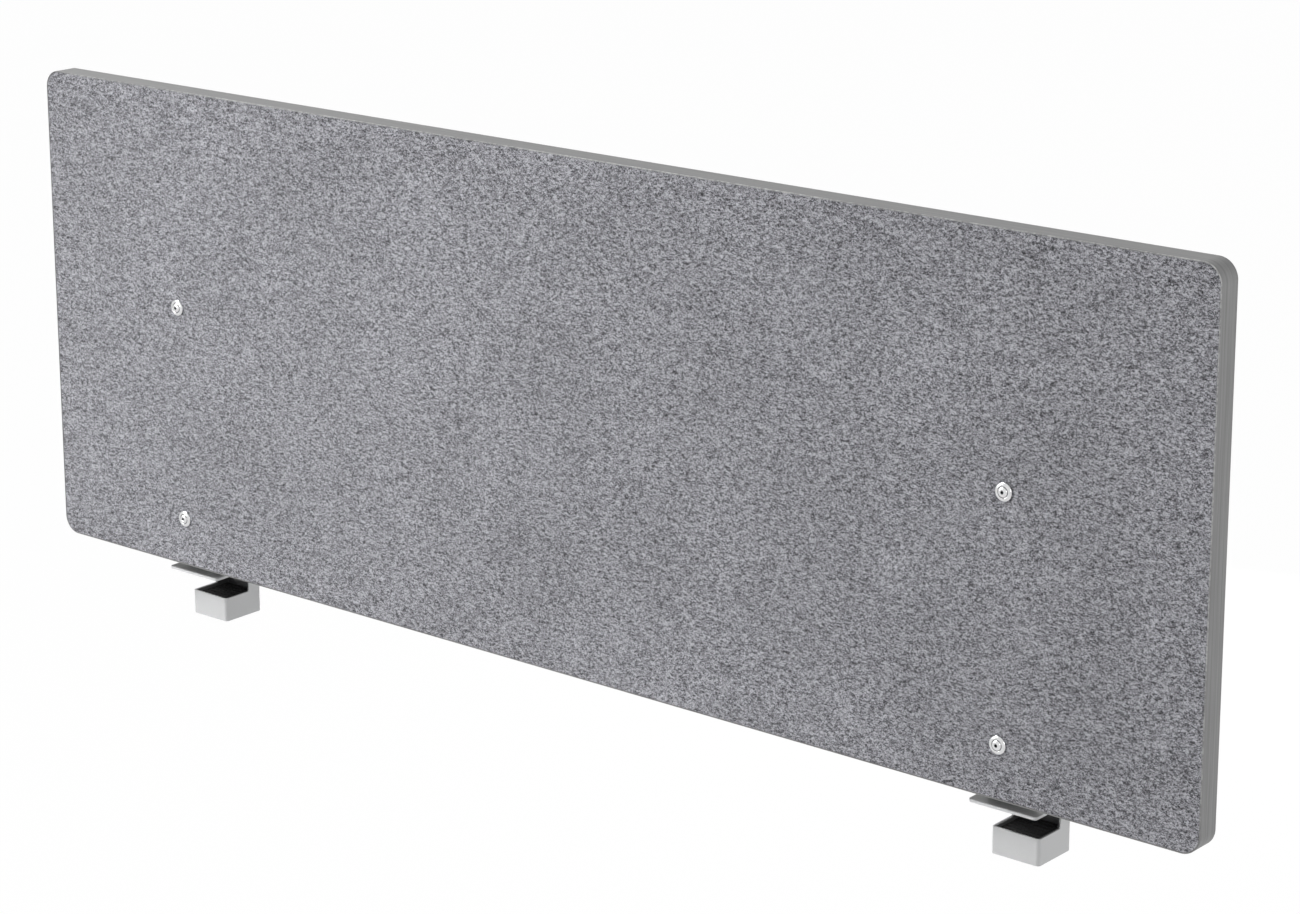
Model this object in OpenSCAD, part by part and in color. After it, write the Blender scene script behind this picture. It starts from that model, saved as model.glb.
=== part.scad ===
// Desk-top acoustic screen: a felt-covered board that two screw clamps hold on a desk's rear edge.
// X runs along the screen, Y from the person at the desk towards its far side, Z up.
// The origin lies on the desk's rear top edge, midway along the screen.

/* [Screen] */
// Length of the screen
panel_w = 1400; // [1000:10:1800]
// Height of the screen
panel_h = 500; // [380:10:800]
// Corner radius of the screen
corner_r = 18; // [6:1:40]
// Thickness of the core board
core_t = 19; // [12:1:28]
// Thickness of each felt sheet
felt_t = 3; // [2:0.5:6]
// Thickness of the edge band
band_t = 1.3; // [0.8:0.1:3]
// Gap between the foot plates and the underside of the screen
panel_lift = 10; // [5:1:30]
// Distance from the desk's rear edge forward to the screen's rear face
edge_setback = 38.5; // [34:0.5:50]

/* [Clamp places] */
// Distance from the screen's left end to the left clamp's middle
left_inset = 188; // [100:1:400]
// Distance from the screen's right end to the right clamp's middle
right_inset = 200; // [100:1:400]
// Height of the lower panel screws above the screen's underside
screw_low = 50; // [30:1:90]
// Spacing from the lower to the upper panel screw
screw_pitch = 225; // [120:5:280]

/* [Foot and upright] */
// Thickness of the foot plate, the upright and the jaw's floor
sheet_t = 3; // [2:0.5:4]
// Width of the foot plate
foot_w = 70; // [60:1:100]
// Reach of the foot plate forward over the desk
foot_reach = 55; // [46:1:80]
// Corner radius of the foot plate
foot_corner_r = 3; // [2:0.5:12]
// Width of the upright
upright_w = 50; // [36:1:60]
// Sheet left above the upper panel screw
upright_over = 20; // [12:1:60]
// Radius of the upright's top corners
upright_corner_r = 8; // [3:1:15]

/* [Jaw] */
// Clear height between the foot plate and the jaw's front rim
desk_gap = 27; // [20:1:45]
// Width of the jaw
jaw_w = 50; // [42:1:60]
// Depth of the jaw from its front wall to its web
jaw_d = 50; // [42:1:60]
// Height of the jaw's closed box
jaw_h = 25; // [22:1:40]
// Thickness of the jaw's sheet
jaw_t = 1.5; // [1:0.5:3]
// Depth of the side flanges behind the desk's edge
flange_d = 17; // [12:1:24]
// Outer bend radius of the jaw's corners
jaw_bend_r = 3.5; // [2.5:0.5:8]
// Least corner radius inside the jaw
jaw_inner_r = 1; // [0.5:0.1:2]
// Radius in the corner between the rim and a flange
notch_r = 2; // [1:0.5:4]

/* [Liner and pads] */
// Thickness of the moulded liner
liner_t = 1.5; // [1:0.1:2]
// Clearance between the liner and the jaw
liner_fit = 0.1; // [0.05:0.05:0.3]
// Distance by which the liner's open edges stand back from the steel
liner_setback = 0.2; // [0.1:0.1:1]
// Thickness of the grip pad under the foot plate
grip_t = 1.5; // [1:0.1:3]
// Bare margin of the foot plate round its grip pad
grip_margin = 5; // [3:1:10]
// Corner radius of the grip pad
grip_corner_r = 3; // [1:1:6]

/* [Clamp screw] */
// Outer diameter of the clamp screw
spindle_d = 8; // [6:1:10]
// Length of the clamp screw that hangs below the jaw when it is wound down
spindle_tail = 9; // [7:1:20]
// Radial running clearance of the clamp screw
spindle_fit = 0.05; // [0.02:0.01:0.1]
// Chamfer on the clamp screw's lower end
spindle_chamfer = 0.8; // [0.4:0.1:1.2]
// Width across flats of the clamp screw's socket
spindle_key = 4; // [3:0.5:5]
// Depth of the clamp screw's socket
spindle_key_depth = 5; // [3:0.5:8]
// Width across flats of the clamp nut
clamp_nut_key = 13; // [11:0.5:16]
// Height of the clamp nut
clamp_nut_h = 6.5; // [5:0.5:8]

/* [Pressure plate] */
// Thickness of the pressure plate
press_t = 4; // [3:0.5:6]
// Clearance between the pressure plate and the liner
press_gap = 0.5; // [0.3:0.1:1]
// Corner radius of the pressure plate
press_corner_r = 3; // [1.5:0.5:6]
// Diameter of the boss that holds the clamp screw's head
boss_d = 18; // [15:0.5:22]
// Height of the boss below the pressure plate
boss_h = 5.5; // [4.5:0.5:8]
// Height of the boss's inward lip
lip_h = 2.5; // [1.5:0.5:3.5]
// Diameter of the clamp screw's neck
neck_d = 6; // [4:0.5:7]
// Diameter of the clamp screw's captive head
disc_d = 11; // [9:0.5:13]
// Height of the clamp screw's captive head
disc_h = 3; // [2:0.5:4]
// End play of the captive head
disc_play = 0.1; // [0.05:0.05:0.2]
// Thickness of the rubber pressure pad
press_pad_t = 3; // [2:0.5:5]
// Margin of the pressure plate round its pad
press_pad_margin = 0.5; // [0.2:0.1:2]
// Depth of the grooves in the pressure pad
groove_depth = 1; // [0.5:0.1:1.5]
// Width of the grooves in the pressure pad
groove_w = 1.4; // [0.8:0.1:2.5]
// Spacing of the grooves in the pressure pad
groove_pitch = 6.2; // [4:0.1:9]

/* [Panel screws] */
// Thread diameter of the panel screws
screw_d = 5; // [4:0.5:6]
// Radial clearance round the panel screws in the screen and the upright
screw_clear = 0.25; // [0.1:0.05:0.5]
// Radial clearance of the panel screws in their nuts
thread_fit = 0.05; // [0.02:0.01:0.1]
// Length of the panel screws beyond their nuts
screw_tail = 1.8; // [1:0.1:4]
// Chamfer on the panel screws' ends
screw_chamfer = 0.6; // [0.3:0.1:1]
// Diameter of the panel screws' heads
head_d = 9.5; // [8:0.1:11]
// Height of the panel screws' heads
head_h = 2.75; // [2:0.05:3.5]
// Height of the straight band at the foot of a panel screw's head
head_band_h = 0.5; // [0.2:0.1:0.8]
// Diameter of the flat on top of a panel screw's head
head_flat_d = 5; // [4:0.1:6.5]
// Width across flats of a panel screw's socket
head_key = 3; // [2.5:0.1:3.5]
// Depth of a panel screw's socket
head_key_depth = 1.6; // [1:0.1:1.9]
// Diameter of the rosette washers
rosette_d = 17; // [15:0.5:20]
// Height of the rosette washers
rosette_h = 1.9; // [1.7:0.1:3]
// Height of the rosette washers' outer rim
rosette_rim_h = 0.5; // [0.3:0.1:1]
// Height of the seat for the screw's head in a rosette washer
rosette_seat_h = 1.2; // [0.8:0.1:1.6]
// Radial gap between the screw's head and the rosette washer's crest
rosette_gap = 0.4; // [0.2:0.1:0.8]
// Width of the rosette washer's crest
rosette_crest = 0.6; // [0.3:0.1:1]
// Width across flats of the upright's nuts
upright_nut_key = 8; // [7.5:0.5:10]
// Height of the upright's nuts
upright_nut_h = 4; // [3:0.5:6]

/* [Hidden] */
$fn = 64;

// Overrun of every cut past the face that it breaks through
over = 1;

// Levels of the foot plate and the screen, from the desk's surface up
plate_z = grip_t;
plate_top = plate_z + sheet_t;
panel_z = plate_top + panel_lift;

// Faces of the screen's layers, from the rear one forward
panel_t = core_t + 2 * felt_t;
panel_back = -edge_setback;
panel_front = panel_back - panel_t;
core_back = panel_back - felt_t;

// Clamp and screw places
left_x = left_inset - panel_w / 2;
right_x = panel_w / 2 - right_inset;
screw_heights = [panel_z + screw_low, panel_z + screw_low + screw_pitch];

// Levels of the jaw, from the foot plate down
rim_z = plate_z - desk_gap;
jaw_z = rim_z - jaw_h;
floor_top = jaw_z + sheet_t;

// The jaw's plan, with the desk's edge at zero
jaw_front = flange_d - jaw_d;
spindle_y = (jaw_front + flange_d) / 2;
liner_inset = jaw_t + liner_fit;
cavity_inset = liner_inset + liner_t;
press_inset = cavity_inset + press_gap;

// Levels of the pressure plate when the clamp is wound down, with its boss just off the clamp nut
nut_top = floor_top + clamp_nut_h;
boss_z = nut_top + disc_play;
press_z = boss_z + boss_h;
press_top = press_z + press_t;
head_z = boss_z + lip_h + disc_play;

// Distance across the corners of a hexagon for each millimetre across its flats
corner_share = 1 / cos(30);

// Steps of the arcs that round the screw heads and the rosettes
arc_steps = 6;

// Rectangle from the origin with four round corners
module rounded(w, h, r) {
    translate([r, 0]) square([w - 2 * r, h]);
    translate([0, r]) square([w, h - 2 * r]);
    for (x = [r, w - r], y = [r, h - r]) translate([x, y]) circle(r);
}

// Stretch of an arc from the outer low end to the inner high end, as radius and height
function crown(low_r, low_z, high_r, high_z) = [
    for (i = [0 : arc_steps])
        let (a = 90 * i / arc_steps)
            [high_r + (low_r - high_r) * cos(a), low_z + (high_z - low_z) * sin(a)]
];

// Hexagonal prism that stands on the origin's level
module hexagon(key, h) {
    cylinder(d = key * corner_share, h = h, $fn = 6);
}

// Places of the panel screws at one clamp, with +Z turned to face the person at the desk
module at_screws(y) {
    for (z = screw_heights) translate([0, y, z]) rotate([90, 0, 0]) children();
}

module at_left() {
    translate([left_x, 0, 0]) children();
}

module at_right() {
    translate([right_x, 0, 0]) children();
}

// One layer of the screen, set in from its outline, with its rear face at y
module layer(y, t, inset) {
    translate([-panel_w / 2 + inset, y, panel_z + inset])
        rotate([90, 0, 0])
            linear_extrude(t) rounded(panel_w - 2 * inset, panel_h - 2 * inset, corner_r - inset);
}

// One layer of the screen inside the edge band, drilled for the panel screws
module drilled_layer(y, t) {
    difference() {
        layer(y, t, band_t);
        for (x = [left_x, right_x]) translate([x, 0, 0])
            at_screws(y + over) cylinder(r = screw_d / 2 + screw_clear, h = t + 2 * over);
    }
}

module core_board() {
    color("burlywood") drilled_layer(core_back, core_t);
}

module front_felt() {
    color("#8c8c92") drilled_layer(core_back - core_t, felt_t);
}

module rear_felt() {
    color("#8c8c92") drilled_layer(panel_back, felt_t);
}

module edge_band() {
    color("#8f8f8f") difference() {
        layer(panel_back, panel_t, 0);
        layer(panel_back + over, panel_t + 2 * over, band_t);
    }
}

// Plate on the desk's surface that carries the upright and the jaw
module foot_plate() {
    color("#c9cbcd") translate([-foot_w / 2, -foot_reach, plate_z])
        linear_extrude(sheet_t) rounded(foot_w, foot_reach + flange_d, foot_corner_r);
}

// Flat bar behind the screen, with two round top corners
module upright() {
    upright_h = screw_heights[1] + upright_over - plate_top;
    color("#c9cbcd") difference() {
        translate([-upright_w / 2, panel_back + sheet_t, plate_top]) rotate([90, 0, 0]) linear_extrude(sheet_t) {
            square([upright_w, upright_h - upright_corner_r]);
            translate([upright_corner_r, 0]) square([upright_w - 2 * upright_corner_r, upright_h]);
            for (x = [upright_corner_r, upright_w - upright_corner_r])
                translate([x, upright_h - upright_corner_r]) circle(upright_corner_r);
        }
        at_screws(panel_back + sheet_t + over) cylinder(r = screw_d / 2 + screw_clear, h = sheet_t + 2 * over);
    }
}

module upright_nuts() {
    color("silver") at_screws(panel_back + sheet_t + upright_nut_h) difference() {
        hexagon(upright_nut_key, upright_nut_h);
        translate([0, 0, -over]) cylinder(r = screw_d / 2 + thread_fit, h = upright_nut_h + 2 * over);
    }
}

// The jaw's plan outline, set in from its outer faces
module jaw_plan(inset) {
    translate([-jaw_w / 2 + inset, jaw_front + inset])
        rounded(jaw_w - 2 * inset, jaw_d - 2 * inset, max(jaw_bend_r - inset, jaw_inner_r));
}

// Space that the desk takes out of the jaw: all that lies above the rim and in front of the flanges
module desk_cut(setback) {
    corner_y = setback;
    corner_z = rim_z - setback;
    front_y = jaw_front - over;
    top_z = plate_z + over;
    translate([-jaw_w / 2 - over, 0, 0]) rotate([90, 0, 90]) linear_extrude(jaw_w + 2 * over) {
        translate([front_y, corner_z]) square([corner_y - notch_r - front_y, top_z - corner_z]);
        translate([front_y, corner_z + notch_r]) square([corner_y - front_y, top_z - corner_z - notch_r]);
        translate([corner_y - notch_r, corner_z + notch_r]) circle(notch_r);
    }
}

// Box under the desk, with a web and two flanges that rise behind the desk's edge to the foot plate
module jaw() {
    color("#c9cbcd") difference() {
        translate([0, 0, jaw_z]) linear_extrude(plate_z - jaw_z) jaw_plan(0);
        translate([0, 0, jaw_z - over]) linear_extrude(plate_z - jaw_z + 2 * over) jaw_plan(jaw_t);
        desk_cut(0);
    }
}

module jaw_floor() {
    color("#c9cbcd") difference() {
        translate([0, 0, jaw_z]) linear_extrude(sheet_t) jaw_plan(jaw_t);
        translate([0, spindle_y, jaw_z - over])
            cylinder(r = spindle_d / 2 + screw_clear, h = sheet_t + 2 * over);
    }
}

// Moulded tray that lines the jaw's walls and floor
module jaw_liner() {
    color("#1b1b1d") difference() {
        translate([0, 0, floor_top]) linear_extrude(plate_z - liner_setback - floor_top) jaw_plan(liner_inset);
        translate([0, 0, floor_top + liner_t]) linear_extrude(plate_z - floor_top) jaw_plan(cavity_inset);
        desk_cut(liner_setback);
        translate([0, spindle_y, floor_top - over])
            cylinder(r = clamp_nut_key * corner_share / 2 + press_gap, h = liner_t + 2 * over);
    }
}

module clamp_nut() {
    color("silver") translate([0, spindle_y, floor_top]) difference() {
        hexagon(clamp_nut_key, clamp_nut_h);
        translate([0, 0, -over]) cylinder(r = spindle_d / 2 + spindle_fit, h = clamp_nut_h + 2 * over);
    }
}

// Clamp screw with a key socket below and a captive disc above
module spindle() {
    low_z = jaw_z - spindle_tail;
    shoulder_z = boss_z - disc_play;
    r = spindle_d / 2;
    color("silver") translate([0, spindle_y, 0]) difference() {
        rotate_extrude() polygon([
            [0, low_z], [r - spindle_chamfer, low_z], [r, low_z + spindle_chamfer], [r, shoulder_z],
            [neck_d / 2, shoulder_z], [neck_d / 2, head_z], [disc_d / 2, head_z], [disc_d / 2, head_z + disc_h],
            [0, head_z + disc_h]
        ]);
        translate([0, 0, low_z - over]) hexagon(spindle_key, spindle_key_depth + over);
    }
}

// Square plate that slides up between the jaw's walls, with a boss that holds the clamp screw's disc
module pressure_plate() {
    color("#3a3a3c") difference() {
        union() {
            translate([0, 0, press_z]) linear_extrude(press_t) press_plan(0);
            translate([0, spindle_y, boss_z]) cylinder(d = boss_d, h = boss_h);
        }
        translate([0, spindle_y, boss_z + lip_h])
            cylinder(r = disc_d / 2 + spindle_fit, h = disc_h + 2 * disc_play);
        translate([0, spindle_y, boss_z - over]) cylinder(r = neck_d / 2 + spindle_fit, h = lip_h + 2 * over);
    }
}

// The pressure plate's plan outline, set in by a margin
module press_plan(margin) {
    inset = press_inset + margin;
    translate([-jaw_w / 2 + inset, jaw_front + inset])
        rounded(jaw_w - 2 * inset, jaw_d - 2 * inset, press_corner_r - margin);
}

// Rubber pad with grooves across its top
module pressure_pad() {
    half_grooves = floor((jaw_d / 2 - press_inset - press_pad_margin) / groove_pitch - 0.5);
    color("#1b1b1d") difference() {
        translate([0, 0, press_top]) linear_extrude(press_pad_t) press_plan(press_pad_margin);
        for (i = [-half_grooves - 1 : half_grooves])
            translate([-jaw_w / 2, spindle_y + (i + 0.5) * groove_pitch - groove_w / 2,
                       press_top + press_pad_t - groove_depth])
                cube([jaw_w, groove_w, groove_depth + over]);
    }
}

module grip_pad() {
    color("#1b1b1d") translate([-foot_w / 2 + grip_margin, -foot_reach + grip_margin, 0])
        linear_extrude(grip_t) rounded(foot_w - 2 * grip_margin, foot_reach - 2 * grip_margin, grip_corner_r);
}

// Domed washers with a sunk seat for the screw's head
module rosettes() {
    bore_r = screw_d / 2 + screw_clear;
    seat_r = head_d / 2 + rosette_gap;
    color("silver") at_screws(panel_front) rotate_extrude() polygon(concat(
        [[bore_r, 0], [rosette_d / 2, 0]],
        crown(rosette_d / 2, rosette_rim_h, seat_r + rosette_crest, rosette_h),
        [[seat_r, rosette_h], [seat_r, rosette_seat_h], [bore_r, rosette_seat_h]]
    ));
}

// Button-head screws from the rosettes through the screen and the upright into the nuts
module panel_screws() {
    seat_y = panel_front - rosette_seat_h;
    length = rosette_seat_h + panel_t + sheet_t + upright_nut_h + screw_tail;
    r = screw_d / 2;
    color("silver") at_screws(seat_y) difference() {
        rotate_extrude() polygon(concat(
            [[0, -length], [r - screw_chamfer, -length], [r, screw_chamfer - length], [r, 0], [head_d / 2, 0]],
            crown(head_d / 2, head_band_h, head_flat_d / 2, head_h),
            [[0, head_h]]
        ));
        translate([0, 0, head_h - head_key_depth]) hexagon(head_key, head_key_depth + over);
    }
}

core_board();
front_felt();
rear_felt();
edge_band();
at_left() foot_plate();  // left_foot_plate
at_left() upright();  // left_upright
at_left() upright_nuts();  // left_upright_nuts
at_left() jaw();  // left_jaw
at_left() jaw_floor();  // left_jaw_floor
at_left() jaw_liner();  // left_jaw_liner
at_left() clamp_nut();  // left_clamp_nut
at_left() spindle();  // left_spindle
at_left() pressure_plate();  // left_pressure_plate
at_left() pressure_pad();  // left_pressure_pad
at_left() grip_pad();  // left_grip_pad
at_left() rosettes();  // left_rosettes
at_left() panel_screws();  // left_panel_screws
at_right() foot_plate();  // right_foot_plate
at_right() upright();  // right_upright
at_right() upright_nuts();  // right_upright_nuts
at_right() jaw();  // right_jaw
at_right() jaw_floor();  // right_jaw_floor
at_right() jaw_liner();  // right_jaw_liner
at_right() clamp_nut();  // right_clamp_nut
at_right() spindle();  // right_spindle
at_right() pressure_plate();  // right_pressure_plate
at_right() pressure_pad();  // right_pressure_pad
at_right() grip_pad();  // right_grip_pad
at_right() rosettes();  // right_rosettes
at_right() panel_screws();  // right_panel_screws
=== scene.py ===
import math
import random

import bmesh
import bpy
from mathutils import Euler, Matrix, Vector


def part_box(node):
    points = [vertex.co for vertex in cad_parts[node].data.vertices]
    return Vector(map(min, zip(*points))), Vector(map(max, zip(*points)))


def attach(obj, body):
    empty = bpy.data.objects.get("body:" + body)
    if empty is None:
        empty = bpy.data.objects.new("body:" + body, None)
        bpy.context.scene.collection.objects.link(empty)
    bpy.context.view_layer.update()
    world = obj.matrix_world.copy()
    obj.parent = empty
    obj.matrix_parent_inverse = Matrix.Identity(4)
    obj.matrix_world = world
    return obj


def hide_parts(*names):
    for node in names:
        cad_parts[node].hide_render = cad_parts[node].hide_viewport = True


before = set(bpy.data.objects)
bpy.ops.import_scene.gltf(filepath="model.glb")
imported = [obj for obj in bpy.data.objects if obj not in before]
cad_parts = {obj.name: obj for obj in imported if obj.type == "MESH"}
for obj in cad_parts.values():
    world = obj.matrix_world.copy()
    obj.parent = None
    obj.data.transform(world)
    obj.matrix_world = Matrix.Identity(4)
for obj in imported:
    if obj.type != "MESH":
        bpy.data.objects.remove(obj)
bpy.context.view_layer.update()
mm = 0.001
hair = 0.01 * mm                    # closer than this counts as the same place
sides = ("left", "right")
print("frame loaded:", len(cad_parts), "nodes")

# camera at the photo's angle, with a mild vertical shift

photoCamera = {
    "place": (2.03416, -2.36112, 1.12562),
    "turn": (75.8302, 0.0965, 39.8442),     # degrees
    "sensor": 36,
    "lens": 95.0725,
    "shiftY": -0.10,
    "clip": (0.05, 100),
}


def makeCamera():
    data = bpy.data.cameras.new("photoCamera")
    data.sensor_width = photoCamera["sensor"]
    data.lens = photoCamera["lens"]
    data.shift_y = photoCamera["shiftY"]
    data.clip_start, data.clip_end = photoCamera["clip"]
    camera = bpy.data.objects.new("photoCamera", data)
    camera.location = photoCamera["place"]
    camera.rotation_euler = Euler([math.radians(a) for a in photoCamera["turn"]], "XYZ")
    bpy.context.scene.collection.objects.link(camera)
    bpy.context.scene.camera = camera


makeCamera()
bpy.context.scene.view_settings.view_transform = "Standard"
print("camera set")

# tools for shader trees, where an entry is a plain value or a pair of a node and its output


def wire(tree, source, output, target, entry):
    tree.links.new(source.outputs[output], target.inputs[entry])


def put(tree, kind, at, entries=None, **settings):
    node = tree.nodes.new(kind)
    node.location = at
    for key, value in settings.items():
        setattr(node, key, value)
    for key, value in (entries or {}).items():
        if isinstance(value, tuple) and isinstance(value[0], bpy.types.Node):
            wire(tree, *value, node, key)
        else:
            node.inputs[key].default_value = value
    return node


def reckon(tree, operation, at, *entries):
    return put(tree, "ShaderNodeMath", at, dict(enumerate(entries)), operation=operation)


def multiply(tree, at, first, second):
    return put(tree, "ShaderNodeVectorMath", at, {0: first, 1: second}, operation="MULTIPLY")


def noise(tree, at, place, scale, detail, roughness=0.5, distortion=0.0):
    return put(tree, "ShaderNodeTexNoise", at, {"Vector": place, "Scale": scale, "Detail": detail,
                                                "Roughness": roughness, "Distortion": distortion})


noiseSpan = (0.3, 0.7)              # where most of a noise texture's values fall


def fitRange(tree, at, source, low, high, span=noiseSpan):
    return put(tree, "ShaderNodeMapRange", at, {"Value": source, "From Min": span[0], "From Max": span[1],
                                                "To Min": low, "To Max": high})


def ramp(tree, at, source, stops):
    node = put(tree, "ShaderNodeValToRGB", at, {0: source})
    elements = node.color_ramp.elements
    while len(elements) < len(stops):
        elements.new(0.5)
    for element, (place, colour) in zip(elements, stops):
        element.position = place
        element.color = (*colour, 1)
    return node


def newGroup(name, entries, exits):
    group = bpy.data.node_groups.new(name, "ShaderNodeTree")
    group.interface.new_socket(name="Vector", in_out="INPUT", socket_type="NodeSocketVector")
    for label, value in entries.items():
        socket = group.interface.new_socket(name=label, in_out="INPUT", socket_type="NodeSocketFloat")
        socket.default_value = value
    for label in exits:
        group.interface.new_socket(name=label, in_out="OUTPUT", socket_type="NodeSocketFloat")
    return group, put(group, "NodeGroupInput", (-1200, 0)), put(group, "NodeGroupOutput", (900, 0))


def newMaterial(name, settings):
    material = bpy.data.materials.new(name)
    material.use_nodes = True
    tree = material.node_tree
    shader = next(n for n in tree.nodes if n.type == "BSDF_PRINCIPLED")
    for key, value in settings.items():
        shader.inputs[key].default_value = value
    where = put(tree, "ShaderNodeTexCoord", (-1500, 0))
    return material, tree, shader, (where, "Object")


def useGroup(tree, group, place, **entries):
    return put(tree, "ShaderNodeGroup", (-1100, 0), {"Vector": place, **entries}, node_tree=group)


def bumpInto(tree, height, shader, look):
    bump = put(tree, "ShaderNodeBump", (-250, -300), {"Height": height, "Strength": look["bump"],
                                                      "Distance": look["bumpDepth"]})
    wire(tree, bump, "Normal", shader, "Normal")


# heather felt: crossing fibres of several greys, with short flecks and fine hairs

heatherShape = {
    "layers": [
        # turn about Y in degrees, scale along the fibre, scale across it, weight
        (8, 360, 830, 0.30),
        (-34, 400, 880, 0.26),
        (41, 440, 1100, 0.22),
        (-77, 520, 1150, 0.16),
    ],
    "layerNoise": (3, 0.66, 1.1),   # detail, roughness and distortion, here and below
    "layerMiddle": 0.46,
    "fleckScale": (190, 420, 420),
    "fleckNoise": (2, 0.6, 0.8),
    "fleckMiddle": 0.5,
    "hairScale": 2600,
    "hairNoise": (2, 0.6),
    "hairHeight": 0.4,
}


def makeHeather():
    shape = heatherShape
    group, entry, leave = newGroup("heatherFibre", {"Fleck": 1.0, "Fibre": 1.0}, ("Shade", "Height"))
    place = (entry, "Vector")
    total = 0.0
    for index, (turn, along, across, weight) in enumerate(shape["layers"]):
        level = 500 - 300 * index
        spin = put(group, "ShaderNodeMapping", (-950, level), {"Vector": place,
                                                               "Rotation": (0, math.radians(turn), 0)})
        stretch = put(group, "ShaderNodeMapping", (-750, level), {"Vector": (spin, 0),
                                                                  "Scale": (along, across, across)})
        layer = noise(group, (-550, level), (stretch, 0), 1, *shape["layerNoise"])
        total = (reckon(group, "MULTIPLY_ADD", (-350, level), (layer, 0), weight, total), 0)
    lie = put(group, "ShaderNodeMapping", (-750, -800), {"Vector": place, "Scale": shape["fleckScale"]})
    fleck = noise(group, (-550, -800), (lie, 0), 1, *shape["fleckNoise"])
    fleckOff = reckon(group, "SUBTRACT", (-350, -800), (fleck, 0), shape["fleckMiddle"])
    fleckPart = reckon(group, "MULTIPLY", (-150, -800), (fleckOff, 0), (entry, "Fleck"))
    fibreOff = reckon(group, "SUBTRACT", (50, 200), total, shape["layerMiddle"])
    added = reckon(group, "MULTIPLY_ADD", (300, 100), (fibreOff, 0), (entry, "Fibre"), (fleckPart, 0))
    shade = reckon(group, "ADD", (650, 100), (added, 0), 0.5)
    hairs = noise(group, (-550, -1100), place, shape["hairScale"], *shape["hairNoise"])
    height = reckon(group, "MULTIPLY_ADD", (650, -200), (hairs, 0), shape["hairHeight"], (added, 0))
    wire(group, shade, 0, leave, "Shade")
    wire(group, height, 0, leave, "Height")
    return group


# fine grain of powder coat, moulded plastic and rubber

grainShape = {
    "peelNoise": (2, 0.55),
    "cloudNoise": (35, 3, 0.6),     # scale first
}


def makeGrain():
    group, entry, leave = newGroup("fineGrain", {"Scale": 1400.0, "Spread": 0.05},
                                   ("Shade", "Rough", "Height"))
    place = (entry, "Vector")
    peel = noise(group, (-700, 200), place, (entry, "Scale"), *grainShape["peelNoise"])
    cloud = noise(group, (-700, -100), place, *grainShape["cloudNoise"])
    low = reckon(group, "SUBTRACT", (-500, -250), 1.0, (entry, "Spread"))
    high = reckon(group, "ADD", (-500, -400), 1.0, (entry, "Spread"))
    half = reckon(group, "MULTIPLY", (-500, -50), (cloud, 0), 0.5)
    both = reckon(group, "MULTIPLY_ADD", (-300, 50), (peel, 0), 0.5, (half, 0))
    shade = fitRange(group, (0, 0), (both, 0), (low, 0), (high, 0))
    wire(group, shade, 0, leave, "Shade")
    wire(group, cloud, 0, leave, "Rough")
    wire(group, peel, 0, leave, "Height")
    return group


# plated metal: faint clouds in its colour and roughness, and fine marks

platingShape = {
    "cloudNoise": (240, 4, 0.65),
    "markNoise": (3200, 1),
    "shade": (0.92, 1.0),
}


def makePlating():
    group, entry, leave = newGroup("platedMetal", {"Low": 0.1, "High": 0.2}, ("Shade", "Rough", "Height"))
    place = (entry, "Vector")
    cloud = noise(group, (-700, 200), place, *platingShape["cloudNoise"])
    mark = noise(group, (-700, -100), place, *platingShape["markNoise"])
    rough = fitRange(group, (-300, 200), (cloud, 0), (entry, "Low"), (entry, "High"))
    shade = fitRange(group, (-300, -100), (cloud, 0), *platingShape["shade"])
    wire(group, shade, 0, leave, "Shade")
    wire(group, rough, 0, leave, "Rough")
    wire(group, mark, 0, leave, "Height")
    return group


heatherGroup = makeHeather()
grainGroup = makeGrain()
platingGroup = makePlating()

feltLook = {
    "settings": {"Roughness": 0.95, "Sheen Weight": 0.18, "Sheen Roughness": 0.55,
                 "Specular IOR Level": 0.12},
    "fleck": 1.2,
    "fibre": 7.0,
    "cloudNoise": (9, 3),
    "cloud": (0.92, 1.08),
    "stops": [(0, (0.022, 0.022, 0.024)), (0.33, (0.103, 0.103, 0.114)), (0.5, (0.208, 0.208, 0.225)),
              (0.68, (0.334, 0.334, 0.360)), (1, (0.548, 0.548, 0.588))],
    "bump": 0.5,
    "bumpDepth": 0.35 * mm,
}


def makeFelt(name, look):
    material, tree, shader, place = newMaterial(name, look["settings"])
    fibre = useGroup(tree, heatherGroup, place, Fleck=look["fleck"], Fibre=look["fibre"])
    colour = ramp(tree, (-800, 100), (fibre, "Shade"), look["stops"])
    cloud = noise(tree, (-1100, 400), place, *look["cloudNoise"])
    level = fitRange(tree, (-800, 400), (cloud, 0), *look["cloud"])
    tint = multiply(tree, (-400, 200), (colour, 0), (level, 0))
    wire(tree, tint, 0, shader, "Base Color")
    bumpInto(tree, (fibre, "Height"), shader, look)
    return material


def maskAll(tree, level, *tests):
    total = None
    for i, (source, operation, value) in enumerate(tests):
        test = reckon(tree, operation, (-1300 + 200 * i, level), source, value)
        if total is not None:
            test = reckon(tree, "MULTIPLY", (-1200 + 200 * i, level - 150), (total, 0), (test, 0))
        total = test
    return total


# powder coats, the liner's plastic and the pads' rubber

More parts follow.
